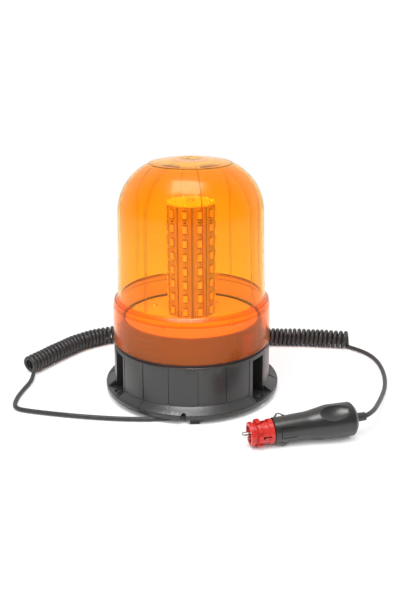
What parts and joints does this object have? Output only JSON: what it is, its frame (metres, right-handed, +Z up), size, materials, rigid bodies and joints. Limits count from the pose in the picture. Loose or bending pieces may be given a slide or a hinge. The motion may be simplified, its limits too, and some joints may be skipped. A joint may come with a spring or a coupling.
{
  "type": "warning beacon",
  "caption": "Amber flashing warning beacon with a light tower under a twist-off clear lens, magnetic base, coiled lead and vehicle accessory plug.",
  "frame": {"origin": "middle of the beacon's footprint, on the surface it stands on", "axes": "+Z up along the light tower; the cable arch in the flange faces -Y"},
  "size_m": [0.3532, 0.2395, 0.2121],
  "materials": {
    "black_plastic": "fine satin moulded surface",
    "amber_lens": "clear amber moulded polycarbonate",
    "gasket_rubber": "matt black rubber",
    "foot_rubber": "matt black rubber",
    "magnet_steel": "plated pressed steel",
    "magnet_ferrite": "dark sintered ferrite",
    "screw_steel": "zinc plated",
    "deck_white": "white moulded plastic",
    "board_green": "green solder mask",
    "board_white": "white solder mask",
    "lamp_body": "white package with pale yellow resin",
    "solder": "bright solder",
    "former_plastic": "white moulded plastic",
    "capacitor_can": "sleeved can",
    "choke_copper": "enamelled copper on a core",
    "chip_black": "black epoxy",
    "sink_aluminium": "extruded",
    "terminal_green": "green moulded plastic",
    "wire_red": "PVC insulation",
    "cord_black": "satin black PVC sheath",
    "plug_black": "satin moulded plastic",
    "adapter_red": "bright red plastic",
    "contact_metal": "nickel plated",
    "nut_brass": "plain brass",
    "fuse_glass": "pale ceramic tube with metal caps"
  },
  "bodies": {
    "base": {"base_housing": "black_plastic", "base_lead": "cord_black", "board_pillars": "nut_brass", "board_screws": "screw_steel", "bottom_cover": "black_plastic", "cable_grommet": "gasket_rubber", "capacitors": "capacitor_can", "choke_coil": "choke_copper", "coil_cord": "cord_black", "controller_chip": "chip_black", "cover_screws": "screw_steel", "deck_plate": "deck_white", "deck_screws": "screw_steel", "driver_board": "board_green", "heat_sink": "sink_aluminium", "lamps": "lamp_body", "light_strip_01": "board_white", "light_strip_02": "board_white", "light_strip_03": "board_white", "light_strip_04": "board_white", "light_strip_05": "board_white", "light_strip_06": "board_white", "light_strip_07": "board_white", "light_strip_08": "board_white", "light_strip_09": "board_white", "light_strip_10": "board_white", "magnet_bolt": "screw_steel", "magnet_cup": "magnet_steel", "magnet_nut": "screw_steel", "magnet_pad": "foot_rubber", "magnet_ring": "magnet_ferrite", "plug_cord_end": "cord_black", "plug_fuse": "fuse_glass", "plug_lead": "cord_black", "plug_nose": "plug_black", "plug_relief": "cord_black", "plug_screw": "screw_steel", "plug_shell_back": "plug_black", "plug_shell_front": "plug_black", "plug_spring": "contact_metal", "power_regulator": "chip_black", "rubber_feet": "foot_rubber", "supply_wires": "wire_red", "terminal_block": "terminal_green", "terminal_screws": "screw_steel", "top_solder_joints": "solder", "tower_foot_ring": "former_plastic", "tower_former": "former_plastic", "tower_nut": "screw_steel", "tower_screw": "screw_steel", "tower_top_board": "board_white", "tower_washer": "screw_steel"},
    "gasket": {"lens_gasket": "gasket_rubber"},
    "lens": {"lens": "amber_lens"},
    "tip_contact": {"plug_tip": "contact_metal"},
    "adapter_sleeve": {"plug_adapter": "adapter_red"},
    "upper_contact": {"plug_contact_upper": "contact_metal"},
    "lower_contact": {"plug_contact_lower": "contact_metal"}
  },
  "joints": [
    {"name": "lens_twist", "type": "hinge", "parent": "base", "child": "gasket", "pos_m": [0, 0, 0.0484], "axis": [0, 0, 1], "range_deg": [0, 20]},
    {"name": "lens_lift", "type": "slide", "parent": "gasket", "child": "lens", "axis": [0, 0, 1], "range_m": [0, 0.135]},
    {"name": "tip_press", "type": "slide", "parent": "base", "child": "tip_contact", "axis": [0.9552, 0.292, 0.0482], "range_m": [0, 0.004], "stiffness_N_per_m": 800, "springref_m": -0.002},
    {"name": "adapter_pull", "type": "slide", "parent": "base", "child": "adapter_sleeve", "axis": [-0.9552, -0.292, -0.0482], "range_m": [0, 0.024]},
    {"name": "upper_contact_press", "type": "slide", "parent": "base", "child": "upper_contact", "axis": [0.1861, -0.466, -0.865], "range_m": [0, 0.0012], "stiffness_N_per_m": 800, "springref_m": -0.001},
    {"name": "lower_contact_press", "type": "slide", "parent": "base", "child": "lower_contact", "axis": [-0.1861, 0.466, 0.865], "range_m": [0, 0.0012], "stiffness_N_per_m": 800, "springref_m": -0.001}
  ]
}
